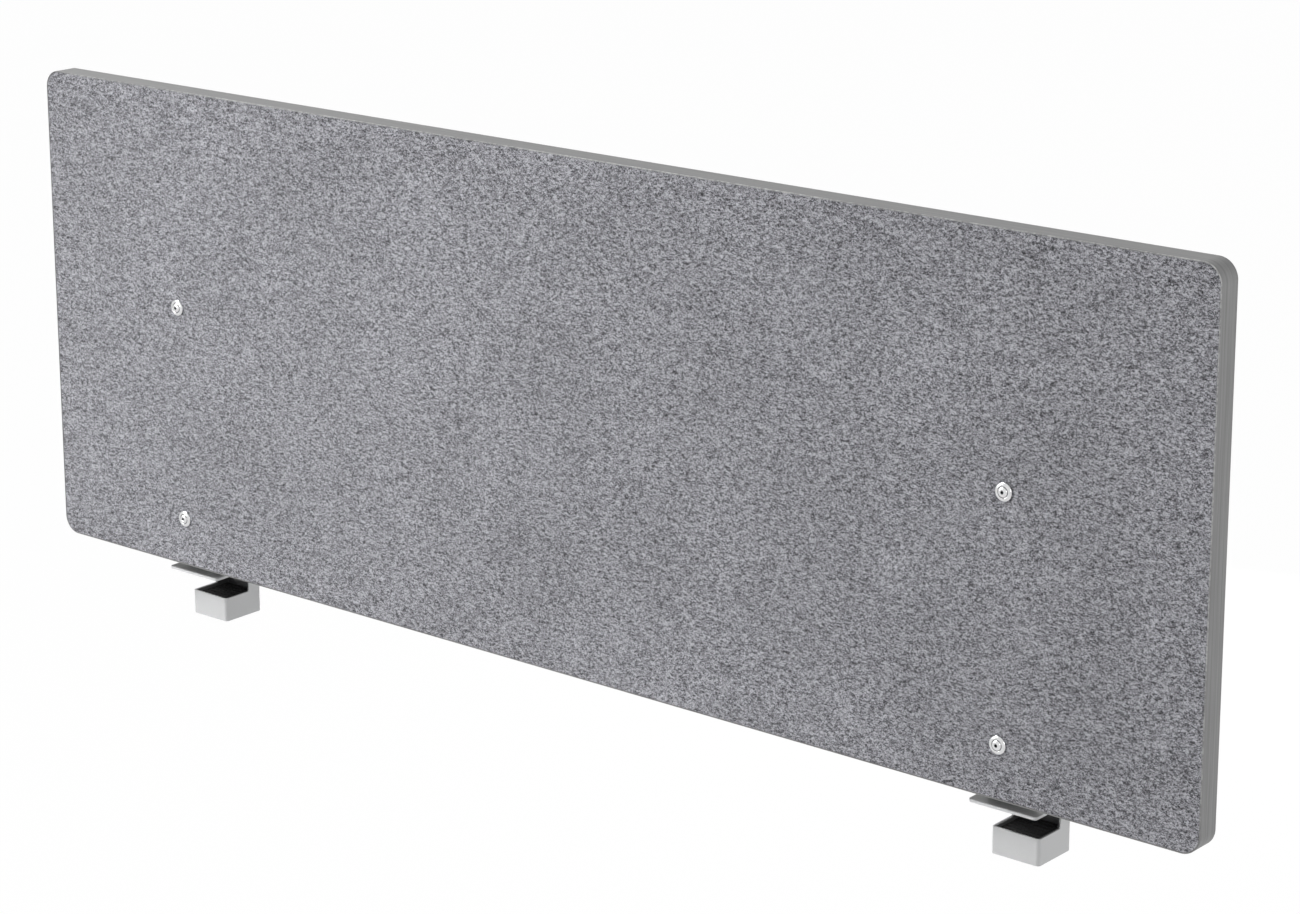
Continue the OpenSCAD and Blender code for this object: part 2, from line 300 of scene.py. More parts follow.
silverPaint = (0.592, 0.596, 0.600)
silverGrain = {"scale": 1500, "spread": 0.04, "rough": (0.38, 0.48), "bump": 0.12, "bumpDepth": 0.06 * mm}
coatLooks = {
    "silverPowderCoat": {"settings": {"Metallic": 0.16, "Specular IOR Level": 0.4}, "colour": silverPaint,
                         **silverGrain},
    "silverPlatePaintedLightCoat": {"settings": {"Specular IOR Level": 0.12}, "colour": silverPaint, **silverGrain},
    "blackPowderCoat": {"settings": {"Specular IOR Level": 0.4}, "colour": (0.026, 0.026, 0.028),
                        "scale": 1500, "spread": 0.15, "rough": (0.40, 0.52), "bump": 0.12,
                        "bumpDepth": 0.06 * mm},
    "mouldedLiner": {"settings": {"Specular IOR Level": 0.45}, "colour": (0.105, 0.105, 0.108),
                     "scale": 2200, "spread": 0.2, "rough": (0.34, 0.46), "bump": 0.15,
                     "bumpDepth": 0.05 * mm},
    "padRubber": {"settings": {"Specular IOR Level": 0.25}, "colour": (0.040, 0.040, 0.041),
                  "scale": 3000, "spread": 0.25, "rough": (0.68, 0.82), "bump": 0.3,
                  "bumpDepth": 0.06 * mm},
}
platePaintedLightLook = {                   # painted shade over the foot plate, whose top lies in the panel's shade, and a painted highlight round its edge
    "below": 4.05 * mm,
    "above": 1.6 * mm,
    "paintedShade": 0.84,
    # strength of the painted highlight round the edge
    "lift": 1.5,
}


def makeCoat(name, paintedLightLook=None):
    look = coatLooks[name]
    material, tree, shader, place = newMaterial(name, look["settings"])
    grain = useGroup(tree, grainGroup, place, Scale=look["scale"], Spread=look["spread"])
    shade = (grain, "Shade")
    # painted light on the foot plate: a painted highlight round its edge over painted shade elsewhere
    if paintedLightLook:
        part = put(tree, "ShaderNodeSeparateXYZ", (-1500, 700), {0: place})
        edge = maskAll(tree, 700, ((part, "Z"), "LESS_THAN", paintedLightLook["below"]),
                       ((part, "Z"), "GREATER_THAN", paintedLightLook["above"]))
        paintedShade = paintedLightLook["paintedShade"]
        lift = reckon(tree, "MULTIPLY_ADD", (-700, 700), (edge, 0), paintedShade * (paintedLightLook["lift"] - 1), paintedShade)
        shade = (reckon(tree, "MULTIPLY", (-500, 500), shade, (lift, 0)), 0)
    tint = multiply(tree, (-500, 200), look["colour"], shade)
    rough = fitRange(tree, (-500, -50), (grain, "Rough"), *look["rough"])
    wire(tree, tint, 0, shader, "Base Color")
    wire(tree, rough, 0, shader, "Roughness")
    bumpInto(tree, (grain, "Height"), shader, look)
    return material


metalLooks = {
    "zincPlate": {"colour": (0.62, 0.63, 0.64), "rough": (0.24, 0.36), "bump": 0.05, "bumpDepth": 0.02 * mm},
    "brightNickel": {"colour": (0.71, 0.71, 0.715), "rough": (0.10, 0.18), "bump": 0.05,
                     "bumpDepth": 0.02 * mm},
}


def makeMetal(name):
    look = metalLooks[name]
    material, tree, shader, place = newMaterial(name, {"Metallic": 1.0})
    plate = useGroup(tree, platingGroup, place, Low=look["rough"][0], High=look["rough"][1])
    tint = multiply(tree, (-500, 200), look["colour"], (plate, "Shade"))
    wire(tree, tint, 0, shader, "Base Color")
    wire(tree, plate, "Rough", shader, "Roughness")
    bumpInto(tree, (plate, "Height"), shader, look)
    return material


def screwPlaces(side):
    low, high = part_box(side + "_rosettes")
    radius = (high.x - low.x) / 2
    middle = (low.x + high.x) / 2
    return [(middle, low.z + radius), (middle, high.z - radius)]


allScrews = [place for side in sides for place in screwPlaces(side)]

# painted shade in the screws' hexagon sockets and in the gaps round their heads, where shade falls

recessShadeLook = {
    "socket": 1.95 * mm,
    "socketTop": 2.3 * mm,          # before the felt
    "gap": (4.79 * mm, 5.2 * mm),
    "gapMouth": 0.22 * mm,
    "dark": 0.93,
}


def nearest(tree, source, places, level):
    reaches = []
    for i, place in enumerate(places):
        off = reckon(tree, "SUBTRACT", (-2100, level - 150 * i), source, place)
        reaches.append((reckon(tree, "ABSOLUTE", (-1900, level - 150 * i), (off, 0)), 0))
    return reckon(tree, "MINIMUM", (-1700, level), *reaches)


def paintRecessShade(material, look):
    tree = material.node_tree
    shader = next(n for n in tree.nodes if n.type == "BSDF_PRINCIPLED")
    where = next(n for n in tree.nodes if n.type == "TEX_COORD")
    part = put(tree, "ShaderNodeSeparateXYZ", (-2300, 900), {0: (where, "Object")})
    across = nearest(tree, (part, "X"), sorted({x for x, z in allScrews}), 1100)
    along = nearest(tree, (part, "Z"), [z for x, z in screwPlaces("left")], 700)
    flat = put(tree, "ShaderNodeCombineXYZ", (-1600, 1000), {"X": (across, 0), "Z": (along, 0)})
    reach = (put(tree, "ShaderNodeVectorMath", (-1450, 1000), {0: (flat, 0)}, operation="LENGTH"), "Value")
    crest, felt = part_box("left_rosettes")
    socket = maskAll(tree, 1300, (reach, "LESS_THAN", look["socket"]),
                     ((part, "Y"), "GREATER_THAN", felt.y - look["socketTop"]))
    gap = maskAll(tree, 900, (reach, "GREATER_THAN", look["gap"][0]), (reach, "LESS_THAN", look["gap"][1]),
                  ((part, "Y"), "GREATER_THAN", crest.y + look["gapMouth"]))
    # painted shade: the nickel's colour darkened in the sockets and the gaps
    recess = reckon(tree, "MAXIMUM", (-500, 1000), (socket, 0), (gap, 0))
    light = reckon(tree, "MULTIPLY_ADD", (-350, 800), (recess, 0), -look["dark"], 1.0)
    plain = shader.inputs["Base Color"].links[0].from_node
    shaded = multiply(tree, (-200, 500), (plain, 0), (light, 0))
    wire(tree, shaded, 0, shader, "Base Color")


bandLook = {
    "settings": {"Specular IOR Level": 0.14},
    "colour": (0.288, 0.288, 0.288),
    "streak": (9, 620, 9),          # fine lines that run along the band on every side
    "streakNoise": (3, 0.6),
    "spread": 0.17,
    "rough": (0.42, 0.55),
    "grain": {"Scale": 1800, "Spread": 0.03},
    "bump": 0.06,
    "bumpDepth": 0.05 * mm,
    "edgeHighlight": 0.36,                # its trimmed front and rear edges get a painted highlight, in glint-like patches, where their rounded edge catches light
    "cutDepth": 0.35 * mm,
    "glintNoise": (260, 3, 0.7),
    "glintRange": (0.4, 0.62),
    "paintedEdgeShade": 0.25,                 # and painted shade near the bottom and at the left end, where that rounded edge faces away from the light
    "paintedShadeReach": (2 * mm, 60 * mm),
}


def makeBand(name, look):
    material, tree, shader, place = newMaterial(name, look["settings"])
    lay = put(tree, "ShaderNodeMapping", (-1300, 300), {"Vector": place, "Scale": look["streak"]})
    streak = noise(tree, (-1100, 300), (lay, 0), 1, *look["streakNoise"])
    level = fitRange(tree, (-850, 300), (streak, 0), 1 - look["spread"], 1 + look["spread"])
    grain = useGroup(tree, grainGroup, place, **look["grain"])
    shade = reckon(tree, "MULTIPLY", (-600, 200), (level, 0), (grain, "Shade"))
    # painted light on the cut edges: a painted highlight in patches, and painted shade near the bottom and the
    # left end
    low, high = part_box("edge_band")
    part = put(tree, "ShaderNodeSeparateXYZ", (-1300, 700), {0: place})
    offMiddle = reckon(tree, "SUBTRACT", (-1100, 700), (part, "Y"), (low.y + high.y) / 2)
    reach = reckon(tree, "ABSOLUTE", (-900, 700), (offMiddle, 0))
    cut = reckon(tree, "GREATER_THAN", (-700, 700), (reach, 0), (high.y - low.y) / 2 - look["cutDepth"])
    glint = noise(tree, (-1100, 950), place, *look["glintNoise"])
    patch = fitRange(tree, (-900, 950), (glint, 0), 0, 2 * look["edgeHighlight"], look["glintRange"])
    near, far = look["paintedShadeReach"]
    overBottom = fitRange(tree, (-1100, 1200), (part, "Z"), 0, 1, (low.z + near, low.z + far))
    pastLeft = fitRange(tree, (-1100, 1450), (part, "X"), 0, 1, (low.x + near, low.x + far))
    away = reckon(tree, "MINIMUM", (-900, 1300), (overBottom, 0), (pastLeft, 0))
    lifted = reckon(tree, "ADD", (-700, 1000), (patch, 0), look["paintedEdgeShade"])
    amount = reckon(tree, "MULTIPLY_ADD", (-600, 850), (lifted, 0), (away, 0), -look["paintedEdgeShade"])
    paler = reckon(tree, "MULTIPLY_ADD", (-500, 700), (cut, 0), (amount, 0), 1.0)
    edged = reckon(tree, "MULTIPLY", (-400, 450), (shade, 0), (paler, 0))
    tint = multiply(tree, (-400, 200), look["colour"], (edged, 0))
    rough = fitRange(tree, (-500, -50), (streak, 0), *look["rough"])
    wire(tree, tint, 0, shader, "Base Color")
    wire(tree, rough, 0, shader, "Roughness")
    bumpInto(tree, (grain, "Height"), shader, look)
    return material


boardLook = {
    "settings": {"Roughness": 0.85},
    "chipScale": 420,
    "stops": [(0.0, (0.36, 0.26, 0.16)), (0.5, (0.60, 0.47, 0.32)), (1.0, (0.74, 0.62, 0.45))],
    "bump": 0.3,
    "bumpDepth": 0.2 * mm,
}


def makeBoard(name, look):
    material, tree, shader, place = newMaterial(name, look["settings"])
    chips = put(tree, "ShaderNodeTexVoronoi", (-1000, 200), {"Vector": place, "Scale": look["chipScale"]})
    colour = ramp(tree, (-700, 200), (chips, "Distance"), look["stops"])
    wire(tree, colour, 0, shader, "Base Color")
    bumpInto(tree, (chips, "Distance"), shader, look)
    return material


feltMaterial = makeFelt("heatherFelt", feltLook)
bandMaterial = makeBand("greyEdgeBand", bandLook)
paintMaterial = makeCoat("silverPowderCoat")
plateMaterial = makeCoat("silverPlatePaintedLightCoat", platePaintedLightLook)
pressMaterial = makeCoat("blackPowderCoat")
linerMaterial = makeCoat("mouldedLiner")
rubberMaterial = makeCoat("padRubber")
zincMaterial = makeMetal("zincPlate")
nickelMaterial = makeMetal("brightNickel")
paintRecessShade(nickelMaterial, recessShadeLook)
boardMaterial = makeBoard("chipBoard", boardLook)
print("materials made:", len(bpy.data.materials))

# tools for making and placing pieces

toFront = Matrix.Rotation(math.radians(90), 4, "X")        # local up turns to the sitter's side
toRear = Matrix.Rotation(math.radians(-90), 4, "X")


def finishPiece(bm, name, body, slotName, material, *nodes, sharp=32):
    for face in bm.faces:
        face.smooth = True
    for edge in bm.edges:
        if len(edge.link_faces) == 2:
            edge.smooth = edge.calc_face_angle(0) < math.radians(sharp)
    mesh = bpy.data.meshes.new(name)
    bm.to_mesh(mesh)
    bm.free()
    mesh.materials.append(material)
    piece = bpy.data.objects.new(name, mesh)
    bpy.context.scene.collection.objects.link(piece)
    shading = piece.modifiers.new("evenShading", "WEIGHTED_NORMAL")
    shading.keep_sharp = True
    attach(piece, body)
    if nodes:
        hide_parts(*nodes)


def mergeInto(target, source, matrix=Matrix.Identity(4)):
    bmesh.ops.transform(source, matrix=matrix, verts=source.verts)
    mesh = bpy.data.meshes.new("part")
    source.to_mesh(mesh)
    source.free()
    target.from_mesh(mesh)
    bpy.data.meshes.remove(mesh)


def newVerts(grown):
    return [v for v in grown["geom"] if isinstance(v, bmesh.types.BMVert)]


def bevelSharp(bm, radius, segments=2, angle=35):
    edges = [e for e in bm.edges if len(e.link_faces) == 2 and e.calc_face_angle(0) > math.radians(angle)]
    bmesh.ops.bevel(bm, geom=edges, offset=radius, offset_type="OFFSET", segments=segments, profile=0.5,
                    affect="EDGES", material=-1, clamp_overlap=True)


def roundOutline(bm, width, depth, radius, steps):
    bmesh.ops.create_grid(bm, x_segments=1, y_segments=1, size=0.5)
    bmesh.ops.scale(bm, vec=(width, depth, 1), verts=bm.verts)
    bmesh.ops.bevel(bm, geom=list(bm.verts), offset=radius, offset_type="OFFSET", segments=steps, profile=0.5,
                    affect="VERTICES", material=-1)
    return bm.faces[:][0]


def roundSlab(low, high, shape):
    bm = bmesh.new()
    face = roundOutline(bm, high.x - low.x, high.y - low.y, shape["corner"], shape["cornerSteps"])
    top = newVerts(bmesh.ops.extrude_face_region(bm, geom=[face]))
    bmesh.ops.translate(bm, vec=(0, 0, high.z - low.z), verts=top)
    bmesh.ops.translate(bm, vec=((low.x + high.x) / 2, (low.y + high.y) / 2, low.z), verts=bm.verts)
    bmesh.ops.recalc_face_normals(bm, faces=bm.faces)
    bevelSharp(bm, shape["edge"], shape["edgeSteps"])
    return bm


copyLimits = {"merge": 0.004 * mm, "flat": 1}              # flat in degrees


def roundedCopy(node, edge):
    bm = bmesh.new()
    bm.from_mesh(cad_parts[node].data)
    bmesh.ops.remove_doubles(bm, verts=bm.verts, dist=copyLimits["merge"])
    bmesh.ops.dissolve_limit(bm, angle_limit=math.radians(copyLimits["flat"]), verts=bm.verts, edges=bm.edges)
    bevelSharp(bm, edge)
    return bm


def quarterArc(inner, outer, low, high, steps):
    angles = [math.radians(90 * i / steps) for i in range(steps + 1)]
    return [(inner + (outer - inner) * math.cos(a), low + (high - low) * math.sin(a)) for a in angles]


spinMerge = 0.001 * mm


def spun(profile, steps, closed=False):
    bm = bmesh.new()
    verts = [bm.verts.new((r, 0, z)) for r, z in profile]
    edges = [bm.edges.new(pair) for pair in zip(verts, verts[1:])]
    if closed:
        edges.append(bm.edges.new((verts[-1], verts[0])))
    bmesh.ops.spin(bm, geom=verts + edges, cent=(0, 0, 0), axis=(0, 0, 1), dvec=(0, 0, 0), angle=math.tau,
                   steps=steps, use_merge=True, use_duplicate=False)
    bmesh.ops.remove_doubles(bm, verts=bm.verts, dist=spinMerge)
    bmesh.ops.recalc_face_normals(bm, faces=bm.faces)
    return bm


def openLoop(bm, test):
    return [e for e in bm.edges if len(e.link_faces) == 1 and all(test(v.co) for v in e.verts)]


def closeLoops(bm, edges):
    bmesh.ops.triangle_fill(bm, use_beauty=True, use_dissolve=False, edges=edges)


def extrudeLoop(bm, edges, lift, scale=1.0, centre=(0, 0, 0)):
    grown = bmesh.ops.extrude_edge_only(bm, edges=edges)
    verts = newVerts(grown)
    edges = [e for e in grown["geom"] if isinstance(e, bmesh.types.BMEdge)]
    bmesh.ops.scale(bm, vec=(scale, scale, 1), space=Matrix.Translation(-Vector(centre)), verts=verts)
    bmesh.ops.translate(bm, vec=(0, 0, lift), verts=verts)
    return [e for e in edges if all(v in verts for v in e.verts)]


def ring(bm, radius, steps, centre):
    made = bmesh.ops.create_circle(bm, cap_ends=False, radius=radius, segments=steps)
    bmesh.ops.translate(bm, vec=centre, verts=made["verts"])
    return list(dict.fromkeys(e for v in made["verts"] for e in v.link_edges))


# a hexagon socket sunk from a ring of edges, and closed by the cone that its drill left

coneTip = 0.02                      # of the ring's size
halfSide = math.radians(30)         # from the middle of a hexagon's side to its corner


def cornerReach(key):
    return key / 2 / math.cos(halfSide)


def sinkSocket(bm, mouth, depth, cone):
    closeLoops(bm, extrudeLoop(bm, extrudeLoop(bm, mouth, depth), cone, coneTip))
    bmesh.ops.recalc_face_normals(bm, faces=bm.faces)


threadShape = {
    "depth": 0.61,                  # this and the next two are shares of the pitch
    "rootEnd": 0.22,
    "crest": (0.54, 0.68),
    "early": 2,                     # turns made below the rod, and then cut off
    "spare": 3,
    "merge": 0.002 * mm,
    "cutMerge": 0.0005 * mm,
}


def threadedRod(radius, pitch, low, high, steps, chamfer):
    bm = bmesh.new()
    shape = threadShape
    deep = radius - shape["depth"] * pitch
    crestLow, crestHigh = shape["crest"]
    profile = [(deep, 0), (deep, shape["rootEnd"] * pitch), (radius, crestLow * pitch),
               (radius, crestHigh * pitch), (deep, pitch)]
    turns = math.ceil((high - low) / pitch) + shape["spare"]
    verts = [bm.verts.new((r, 0, low - shape["early"] * pitch + z)) for r, z in profile]
    edges = [bm.edges.new(pair) for pair in zip(verts, verts[1:])]
    bmesh.ops.spin(bm, geom=verts + edges, cent=(0, 0, 0), axis=(0, 0, 1), dvec=(0, 0, pitch / steps),
                   angle=math.tau * turns, steps=steps * turns, use_merge=False, use_duplicate=False)
    bmesh.ops.remove_doubles(bm, verts=bm.verts, dist=shape["merge"])
    for z, side in ((low, -1), (high, 1)):
        bmesh.ops.bisect_plane(bm, geom=bm.verts[:] + bm.edges[:] + bm.faces[:], dist=shape["cutMerge"],
                               plane_co=(0, 0, z), plane_no=(0, 0, side), clear_outer=True)
    for v in bm.verts:                                     # the ends run out under a chamfer
        room = radius - chamfer + min(v.co.z - low, high - v.co.z)
        reach = v.co.xy.length
        if reach > room:
            v.co.xy *= room / reach
    return bm


nutShape = {
    "steps": 48,
    "chamfer": 0.35 * mm,
    "faceShare": 0.488,             # radius of the flat end, of the width over the flats
    "sideShare": 0.1,               # where the sides start, of the height
    "cornerAngle": 30,
}


def hexNut(key, height, bore):
    shape = nutShape
    inner = key * shape["faceShare"]
    chamfer = shape["chamfer"]
    rise = height * shape["sideShare"]
    profile = [(bore, chamfer), (bore, height - chamfer), (bore + chamfer, height), (inner, height),
               (key, height - rise), (key, rise), (inner, 0), (bore + chamfer, 0)]
    bm = spun(profile, shape["steps"], closed=True)
    for v in bm.verts:
        if v.co.xy.length > inner + hair:                  # the outer rings are drawn in to a hexagon
            angle = math.atan2(v.co.y, v.co.x) % (2 * halfSide) - halfSide
            reach = key / 2 / math.cos(angle)
            drop = (reach - inner) * math.tan(math.radians(shape["cornerAngle"]))
            v.co.xy *= reach / v.co.xy.length
            v.co.z = height - drop if v.co.z > height / 2 else drop
    return bm


# felt sheets, with a soft edge and a dish where each rosette presses in

panelCorner = 18 * mm
feltShape = {
    "cornerSteps": 18,
    "softEdge": 0.8 * mm,
    "midShare": 0.293,              # where the soft edge's middle ring lies, in and down
    "bore": 2.75 * mm,
    "steps": 64,
    "dishRings": 6,
}
frontDish = {"reach": 14 * mm, "depth": 0.55 * mm, "seat": 8.9 * mm}
rearDish = {"reach": 6 * mm, "depth": 0.2 * mm, "seat": 4.2 * mm}


def sinkDish(bm, edges, centre, dish, thick):
    radius = dish["reach"]
    last = 0.0
    for i in range(1, feltShape["dishRings"] + 1):
        share = i / feltShape["dishRings"]
        wanted = dish["reach"] + (dish["seat"] - dish["reach"]) * share
        drop = dish["depth"] * share * share * (3 - 2 * share)
        edges = extrudeLoop(bm, edges, last - drop, wanted / radius, centre)
        radius = wanted
        last = drop
    edges = extrudeLoop(bm, edges, 0, feltShape["bore"] / radius, centre)
    extrudeLoop(bm, edges, last - thick)


def feltSheet(name, node, facing, dish):
    low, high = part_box(node)
    middle = (low + high) / 2
    thick = high.y - low.y
    shape = feltShape
    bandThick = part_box("edge_band")[1].x - high.x
    soft = shape["softEdge"]
    mid = shape["midShare"] * soft
    bm = bmesh.new()
    face = roundOutline(bm, high.x - low.x, high.z - low.z, panelCorner - bandThick, shape["cornerSteps"])
    outer = list(bm.verts)
    bmesh.ops.inset_region(bm, faces=[face], thickness=mid, use_even_offset=True, use_boundary=True)
    between = list(face.verts)
    bmesh.ops.inset_region(bm, faces=[face], thickness=soft - mid, use_even_offset=True, use_boundary=True)
    bmesh.ops.translate(bm, vec=(0, 0, -soft), verts=outer)
    bmesh.ops.translate(bm, vec=(0, 0, -mid), verts=between)
    inner = list(face.edges)
    bmesh.ops.delete(bm, geom=[face], context="FACES_ONLY")
    dishes = []
    for x, z in allScrews:
        centre = Vector((x - middle.x, (z - middle.z) * -facing, 0))
        dishes.append((centre, ring(bm, dish["reach"], shape["steps"], centre)))
    closeLoops(bm, inner + [e for centre, edges in dishes for e in edges])
    for centre, edges in dishes:
        sinkDish(bm, edges, centre, dish, thick)
    extrudeLoop(bm, openLoop(bm, lambda c: abs(c.z + soft) < hair), soft - thick)
    closeLoops(bm, openLoop(bm, lambda c: True))
    bmesh.ops.recalc_face_normals(bm, faces=bm.faces)
    turn = toFront if facing < 0 else toRear
    front = low.y if facing < 0 else high.y
    bmesh.ops.transform(bm, matrix=Matrix.Translation((middle.x, front, middle.z)) @ turn, verts=bm.verts)
    finishPiece(bm, name, "screen", "felt_grey", feltMaterial, node)


feltSheet("frontFelt", "front_felt", -1, frontDish)
feltSheet("rearFelt", "rear_felt", 1, rearDish)
print("felt sheets made")

# edge band with softened long edges

bandShape = {
    "cornerSteps": 24,
    "edge": 0.45 * mm,
    "edgeSteps": 3,
    "edgeAngle": 60,
}


def edgeBand():
    low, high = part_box("edge_band")
    middle = (low + high) / 2
    thick = high.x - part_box("front_felt")[1].x
    shape = bandShape
    bm = bmesh.new()
    face = roundOutline(bm, high.x - low.x, high.z - low.z, panelCorner, shape["cornerSteps"])
    bmesh.ops.inset_region(bm, faces=[face], thickness=thick, use_even_offset=True, use_boundary=True)
    bmesh.ops.delete(bm, geom=[face], context="FACES_ONLY")
    back = newVerts(bmesh.ops.extrude_face_region(bm, geom=bm.faces[:]))
    bmesh.ops.translate(bm, vec=(0, 0, low.y - high.y), verts=back)
    bmesh.ops.recalc_face_normals(bm, faces=bm.faces)
    bevelSharp(bm, shape["edge"], shape["edgeSteps"], shape["edgeAngle"])
    bmesh.ops.transform(bm, matrix=Matrix.Translation((middle.x, low.y, middle.z)) @ toFront, verts=bm.verts)
    finishPiece(bm, "edgeBand", "screen", "band_grey", bandMaterial, "edge_band")


edgeBand()
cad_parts["core_board"].data.materials.clear()
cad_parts["core_board"].data.materials.append(boardMaterial)
print("band and board made")

# domed rosette washers, button-head screws and the nuts behind the uprights

rosetteShape = {
    "steps": 64,
    "domeSteps": 12,
    "sunk": 0.5 * mm,
    "rim": 0.5 * mm,
    "height": 1.9 * mm,
    "seat": 1.2 * mm,
    "seatRadius": 5.15 * mm,
    "crest": 0.6 * mm,
    "bore": 2.75 * mm,
    "footRound": [(0.35 * mm, 0), (0.08 * mm, 0.12 * mm), (0, 0.4 * mm)],      # in from the rim, and up
    "mouthRound": [(0.25 * mm, 0), (0.06 * mm, 0.08 * mm), (0, 0.28 * mm)],    # out from the seat, and down
}
screwShape = {
    "steps": 48,
    "domeSteps": 10,
    "head": 4.75 * mm,
    "headHeight": 1.9 * mm,
    "band": 0.5 * mm,
    "footRound": 0.12 * mm,
    "flat": 2.5 * mm,
    "key": 3 * mm,
    "keyDepth": 1.6 * mm,
    "keyMouth": 0.14 * mm,
    "keyCone": 0.35 * mm,
    "turns": (17, 40),              # how far each socket is turned, in degrees
    "radius": 2.5 * mm,
    "core": 2.25 * mm,
    "neck": 0.3 * mm,
    "threadPitch": 0.8 * mm,
    "threadLength": 12 * mm,
    "threadSteps": 24,
    "threadLap": 0.1 * mm,
    "threadChamfer": 0.6 * mm,
}
uprightNutShape = {"key": 8 * mm, "bore": 2.55 * mm}


def rosettes(side):
    low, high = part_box(side + "_rosettes")
    radius = (high.x - low.x) / 2
    shape = rosetteShape
    profile = [(shape["bore"], -shape["sunk"])]
    profile += [(radius - inward, up - shape["sunk"]) for inward, up in shape["footRound"]]
    profile += quarterArc(shape["seatRadius"] + shape["crest"], radius, shape["rim"], shape["height"],
                          shape["domeSteps"])
    profile += [(shape["seatRadius"] + out, shape["height"] - down) for out, down in shape["mouthRound"]]
    profile += [(shape["seatRadius"], shape["seat"]), (shape["bore"], shape["seat"])]
    bm = bmesh.new()
    for x, z in screwPlaces(side):
        place = Matrix.Translation((x, high.y, z))
        mergeInto(bm, spun(profile, shape["steps"], closed=True), place @ toFront)
    finishPiece(bm, side + "Rosettes", "screen", "bright_steel", nickelMaterial, side + "_rosettes", sharp=40)


def panelScrew(length):
    shape = screwShape
    top = shape["headHeight"]
    threadEnd = shape["threadLength"] - length
    core = shape["core"]
    profile = [(0, threadEnd), (core, threadEnd), (core, -shape["neck"]), (core, 0),
               (shape["head"] - shape["footRound"], 0), (shape["head"], shape["footRound"])]
    profile += quarterArc(shape["flat"], shape["head"], shape["band"], top, shape["domeSteps"])
    bm = spun(profile, shape["steps"])
    inside = cornerReach(shape["key"])
    mouth = inside + shape["keyMouth"]
    hexagon = ring(bm, mouth, 6, (0, 0, top))
    closeLoops(bm, openLoop(bm, lambda c: c.z > top - hair) + hexagon)
    inner = extrudeLoop(bm, hexagon, -shape["keyMouth"], inside / mouth)
    sinkSocket(bm, inner, shape["keyMouth"] - shape["keyDepth"], -shape["keyCone"])
    rod = threadedRod(shape["radius"], shape["threadPitch"], -length, threadEnd + shape["threadLap"],
                      shape["threadSteps"], shape["threadChamfer"])
    closeLoops(rod, openLoop(rod, lambda c: c.z < hair - length))
    closeLoops(rod, openLoop(rod, lambda c: True))
    bmesh.ops.recalc_face_normals(rod, faces=rod.faces)
    mergeInto(bm, rod)
    return bm


def panelScrews(side):
    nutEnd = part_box(side + "_panel_screws")[1].y
    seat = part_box(side + "_rosettes")[1].y - rosetteShape["seat"]
    bm = bmesh.new()
    for (x, z), degrees in zip(screwPlaces(side), screwShape["turns"]):
        turn = Matrix.Rotation(math.radians(degrees), 4, "Z")
        mergeInto(bm, panelScrew(nutEnd - seat), Matrix.Translation((x, seat, z)) @ toFront @ turn)
    finishPiece(bm, side + "PanelScrews", "screen", "bright_steel", nickelMaterial, side + "_panel_screws")


def uprightNuts(side):
    low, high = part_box(side + "_upright_nuts")
    bm = bmesh.new()
    for x, z in screwPlaces(side):
        nut = hexNut(uprightNutShape["key"], high.y - low.y, uprightNutShape["bore"])
        mergeInto(bm, nut, Matrix.Translation((x, high.y, z)) @ toFront)
    finishPiece(bm, side + "UprightNuts", "screen", "zinc", zincMaterial, side + "_upright_nuts", sharp=25)


# foot plate and weld beads in the sheet's powder coat

plateShape = {
    "corner": 3 * mm,
    "cornerSteps": 8,
    "edge": 0.45 * mm,
    "edgeSteps": 3,
}
beadShape = {
    "leg": 2.2 * mm,
    "sideLegShare": 0.8,
    "pitch": 1.5 * mm,
    "stepsPerPitch": 5,
    "sectionSteps": 5,
    "sectionPower": 1.15,           # a little flatter than round
    "startShare": 0.35,             # size at both ends
    "endSlope": 7,
    "ripple": 0.1,
    "unevenness": 0.02,
    "backShorter": 4 * mm,          # than the upright
    "sideShorter": 8 * mm,          # than the flange, under the plate
    "sideShift": -2 * mm,           # towards the desk
    "backSeed": 3,
    "sideSeeds": (4, 6),
}


def weldBead(length, leg, seed):
    shape = beadShape
    draw = random.Random(seed)
    start = shape["startShare"]
    each = shape["stepsPerPitch"]
    points = [(0, 0)]
    for i in range(shape["sectionSteps"] + 1):
        angle = math.radians(90 * i / shape["sectionSteps"])
        across, up = math.cos(angle) ** shape["sectionPower"], math.sin(angle) ** shape["sectionPower"]
        points.append((leg * across, leg * up))
    bm = bmesh.new()
    face = bm.faces.new([bm.verts.new((0, y * start, z * start)) for y, z in points])
    steps = int(length / shape["pitch"] * each)
    last = start
    for i in range(1, steps + 1):
        ends = min(1, math.sin(math.pi * i / steps) * shape["endSlope"])
        ripple = shape["ripple"] * (i % each) / (each - 1)
        wanted = max(start, ends) * (1 - ripple + draw.uniform(-shape["unevenness"], shape["unevenness"]))
        grown = bmesh.ops.extrude_face_region(bm, geom=[face])
        verts = newVerts(grown)
        face = next(f for f in grown["geom"] if isinstance(f, bmesh.types.BMFace))
        bmesh.ops.translate(bm, vec=(length / steps, 0, 0), verts=verts)
        bmesh.ops.scale(bm, vec=(1, wanted / last, wanted / last), verts=verts)
        last = wanted
    inside = [f for f in bm.faces if len(f.verts) == len(points)][1:-1]
    bmesh.ops.delete(bm, geom=inside, context="FACES_ONLY")
    bmesh.ops.translate(bm, vec=(-length / 2, 0, 0), verts=bm.verts)
    bmesh.ops.recalc_face_normals(bm, faces=bm.faces)
    return bm


def footPlate(side):
    bm = roundSlab(*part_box(side + "_foot_plate"), plateShape)
    finishPiece(bm, side + "FootPlate", "screen", "bracket_paint", plateMaterial, side + "_foot_plate")


